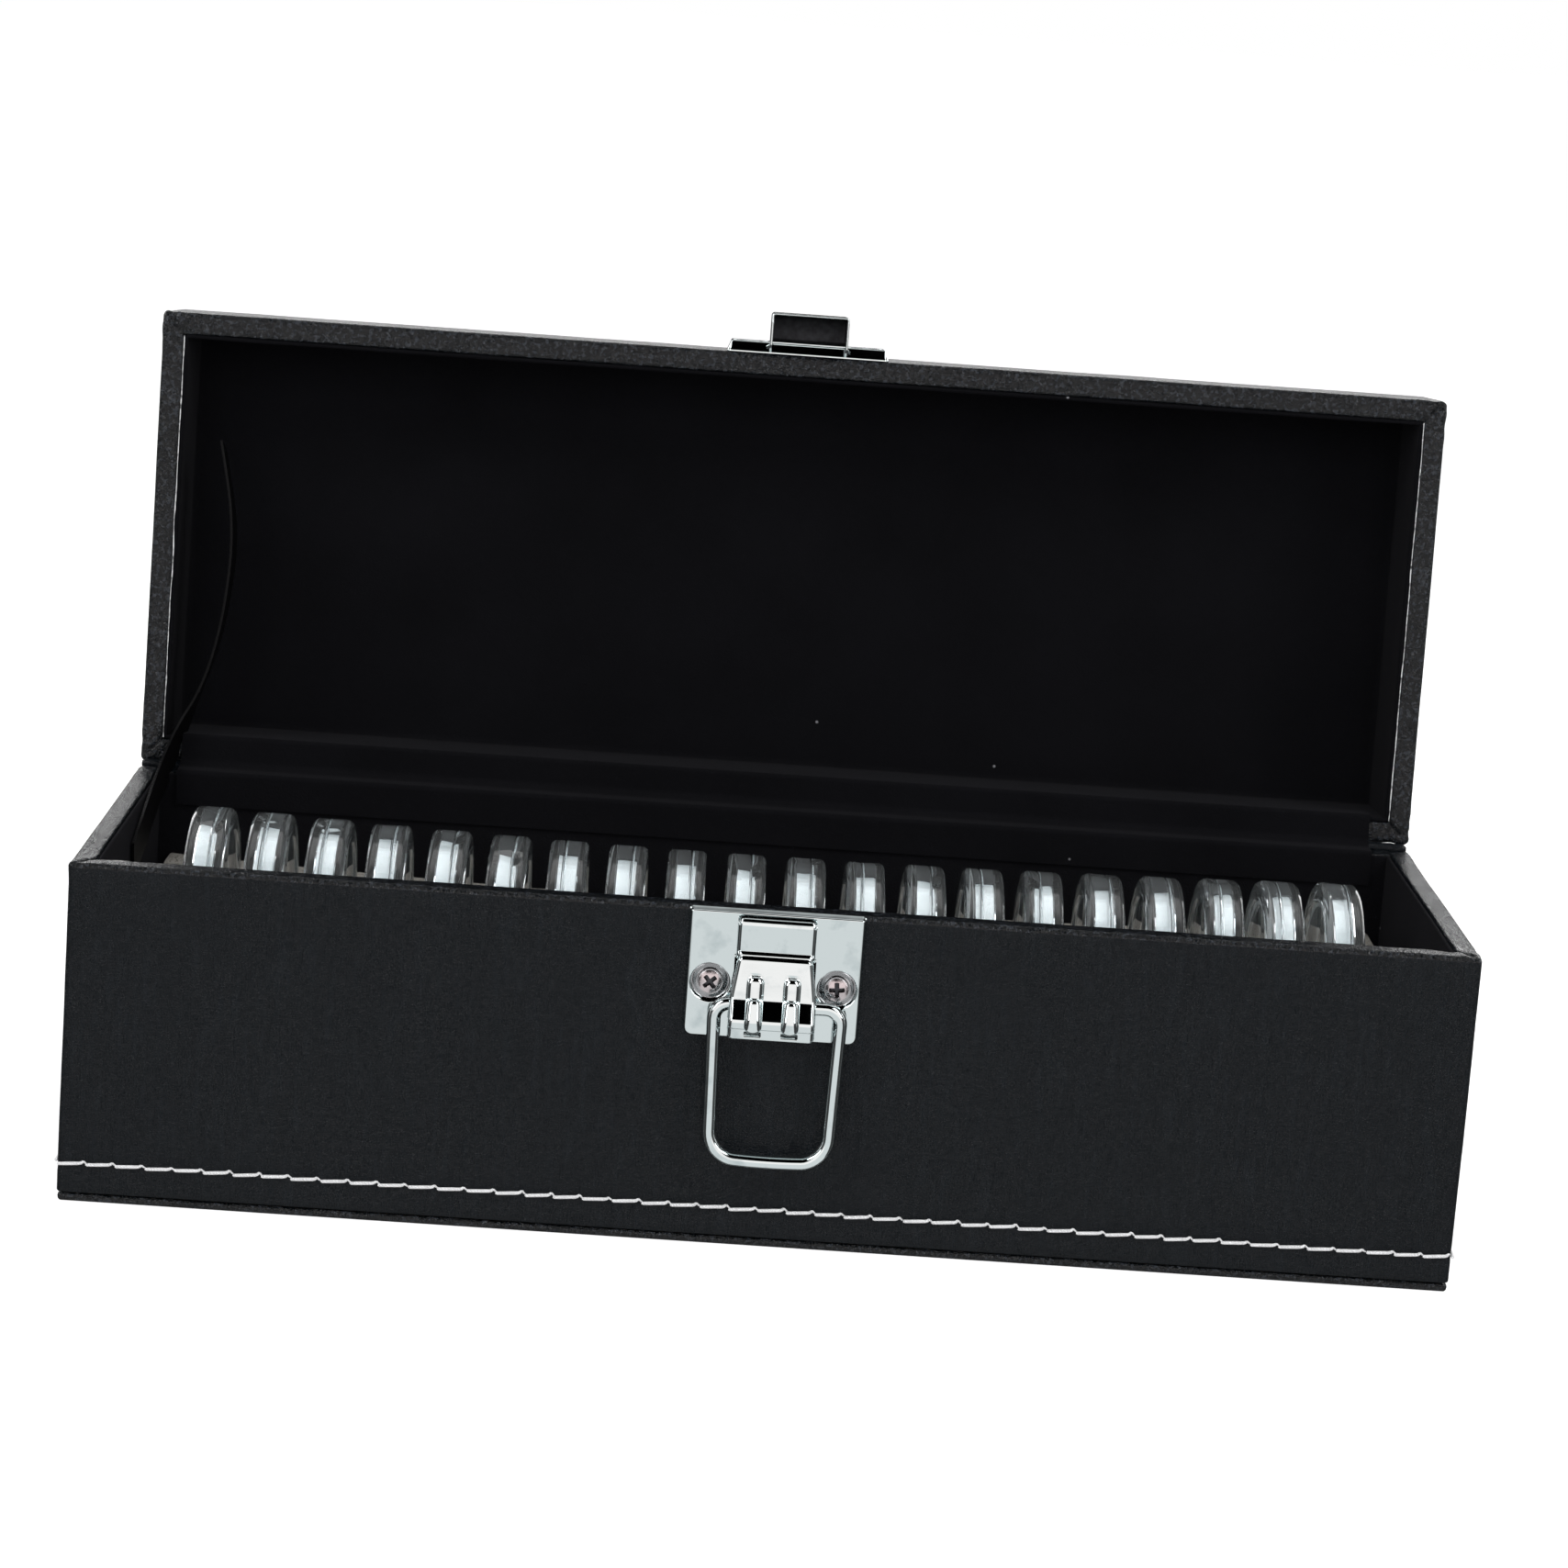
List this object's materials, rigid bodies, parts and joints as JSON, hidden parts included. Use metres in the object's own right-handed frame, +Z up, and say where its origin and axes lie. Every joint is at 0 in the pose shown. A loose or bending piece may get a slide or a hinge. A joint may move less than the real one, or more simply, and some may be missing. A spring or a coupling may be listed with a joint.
{
  "type": "coin display case",
  "caption": "Long box in black leatherette with a hinged lid, a chromed latch with a wire ring, and a row of clear coin capsules standing in slotted foam.",
  "frame": {"origin": "middle of the underside of the base board, where the case stands", "axes": "+X to the right along the length, +Y to the back, where the lid is hinged, +Z up; the latch faces -Y"},
  "size_m": [0.32, 0.1661, 0.2014],
  "materials": {
    "leatherette": "black grained, semi-gloss",
    "velvet": "black pile",
    "mdf": "bare fibreboard",
    "foam": "grey foam, matt",
    "clear_plastic": "clear polystyrene",
    "chrome": "bright chrome plate",
    "screw_steel": "nickel plated",
    "ribbon": "black woven ribbon"
  },
  "bodies": {
    "case": {"body_carcass": "mdf", "body_cover": "leatherette", "base_board": "leatherette", "body_lining": "velvet", "foam_bed": "foam", "foam_insert_left": "foam", "foam_insert_right": "foam", "latch_plate": "chrome", "latch_screw_left": "screw_steel", "latch_screw_right": "screw_steel", "hinge_bead": "leatherette", "hinge_flap": "velvet", "stay_ribbon": "ribbon"},
    "lid": {"lid_carcass": "mdf", "lid_cover": "leatherette", "lid_lining": "velvet", "lid_catch": "chrome"},
    "latch_tongue": {"latch_tongue": "chrome"},
    "latch_bail": {"latch_bail": "chrome"},
    "capsule_01": {"capsule_01_base": "clear_plastic", "capsule_01_cover": "clear_plastic"},
    "capsule_02": {"capsule_02_base": "clear_plastic", "capsule_02_cover": "clear_plastic"},
    "capsule_03": {"capsule_03_base": "clear_plastic", "capsule_03_cover": "clear_plastic"},
    "capsule_04": {"capsule_04_base": "clear_plastic", "capsule_04_cover": "clear_plastic"},
    "capsule_05": {"capsule_05_base": "clear_plastic", "capsule_05_cover": "clear_plastic"},
    "capsule_06": {"capsule_06_base": "clear_plastic", "capsule_06_cover": "clear_plastic"},
    "capsule_07": {"capsule_07_base": "clear_plastic", "capsule_07_cover": "clear_plastic"},
    "capsule_08": {"capsule_08_base": "clear_plastic", "capsule_08_cover": "clear_plastic"},
    "capsule_09": {"capsule_09_base": "clear_plastic", "capsule_09_cover": "clear_plastic"},
    "capsule_10": {"capsule_10_base": "clear_plastic", "capsule_10_cover": "clear_plastic"},
    "capsule_11": {"capsule_11_base": "clear_plastic", "capsule_11_cover": "clear_plastic"},
    "capsule_12": {"capsule_12_base": "clear_plastic", "capsule_12_cover": "clear_plastic"},
    "capsule_13": {"capsule_13_base": "clear_plastic", "capsule_13_cover": "clear_plastic"},
    "capsule_14": {"capsule_14_base": "clear_plastic", "capsule_14_cover": "clear_plastic"},
    "capsule_15": {"capsule_15_base": "clear_plastic", "capsule_15_cover": "clear_plastic"},
    "capsule_16": {"capsule_16_base": "clear_plastic", "capsule_16_cover": "clear_plastic"},
    "capsule_17": {"capsule_17_base": "clear_plastic", "capsule_17_cover": "clear_plastic"},
    "capsule_18": {"capsule_18_base": "clear_plastic", "capsule_18_cover": "clear_plastic"},
    "capsule_19": {"capsule_19_base": "clear_plastic", "capsule_19_cover": "clear_plastic"},
    "capsule_20": {"capsule_20_base": "clear_plastic", "capsule_20_cover": "clear_plastic"}
  },
  "joints": [
    {"name": "lid_hinge", "type": "hinge", "parent": "case", "child": "lid", "pos_m": [0, 0.05702, 0.07975], "axis": [-1, 0, 0], "range_deg": [-94.4, 0], "deforming": ["hinge_flap", "stay_ribbon"]},
    {"name": "tongue_release", "type": "hinge", "parent": "case", "child": "latch_tongue", "pos_m": [0, -0.0586, 0.051], "axis": [1, 0, 0], "range_deg": [0, 2.6], "stiffness_Nm_per_rad": 1},
    {"name": "bail_swing", "type": "hinge", "parent": "latch_tongue", "child": "latch_bail", "pos_m": [0, -0.0608, 0.0585], "axis": [-1, 0, 0], "range_deg": [0, 165]},
    {"name": "capsule_01_lift", "type": "slide", "parent": "case", "child": "capsule_01", "axis": [0, 0, 1], "range_m": [0, 0.056]},
    {"name": "capsule_02_lift", "type": "slide", "parent": "case", "child": "capsule_02", "axis": [0, 0, 1], "range_m": [0, 0.056]},
    {"name": "capsule_03_lift", "type": "slide", "parent": "case", "child": "capsule_03", "axis": [0, 0, 1], "range_m": [0, 0.056]},
    {"name": "capsule_04_lift", "type": "slide", "parent": "case", "child": "capsule_04", "axis": [0, 0, 1], "range_m": [0, 0.056]},
    {"name": "capsule_05_lift", "type": "slide", "parent": "case", "child": "capsule_05", "axis": [0, 0, 1], "range_m": [0, 0.056]},
    {"name": "capsule_06_lift", "type": "slide", "parent": "case", "child": "capsule_06", "axis": [0, 0, 1], "range_m": [0, 0.056]},
    {"name": "capsule_07_lift", "type": "slide", "parent": "case", "child": "capsule_07", "axis": [0, 0, 1], "range_m": [0, 0.056]},
    {"name": "capsule_08_lift", "type": "slide", "parent": "case", "child": "capsule_08", "axis": [0, 0, 1], "range_m": [0, 0.056]},
    {"name": "capsule_09_lift", "type": "slide", "parent": "case", "child": "capsule_09", "axis": [0, 0, 1], "range_m": [0, 0.056]},
    {"name": "capsule_10_lift", "type": "slide", "parent": "case", "child": "capsule_10", "axis": [0, 0, 1], "range_m": [0, 0.056]},
    {"name": "capsule_11_lift", "type": "slide", "parent": "case", "child": "capsule_11", "axis": [0, 0, 1], "range_m": [0, 0.056]},
    {"name": "capsule_12_lift", "type": "slide", "parent": "case", "child": "capsule_12", "axis": [0, 0, 1], "range_m": [0, 0.056]},
    {"name": "capsule_13_lift", "type": "slide", "parent": "case", "child": "capsule_13", "axis": [0, 0, 1], "range_m": [0, 0.056]},
    {"name": "capsule_14_lift", "type": "slide", "parent": "case", "child": "capsule_14", "axis": [0, 0, 1], "range_m": [0, 0.056]},
    {"name": "capsule_15_lift", "type": "slide", "parent": "case", "child": "capsule_15", "axis": [0, 0, 1], "range_m": [0, 0.056]},
    {"name": "capsule_16_lift", "type": "slide", "parent": "case", "child": "capsule_16", "axis": [0, 0, 1], "range_m": [0, 0.056]},
    {"name": "capsule_17_lift", "type": "slide", "parent": "case", "child": "capsule_17", "axis": [0, 0, 1], "range_m": [0, 0.056]},
    {"name": "capsule_18_lift", "type": "slide", "parent": "case", "child": "capsule_18", "axis": [0, 0, 1], "range_m": [0, 0.056]},
    {"name": "capsule_19_lift", "type": "slide", "parent": "case", "child": "capsule_19", "axis": [0, 0, 1], "range_m": [0, 0.056]},
    {"name": "capsule_20_lift", "type": "slide", "parent": "case", "child": "capsule_20", "axis": [0, 0, 1], "range_m": [0, 0.056]}
  ]
}
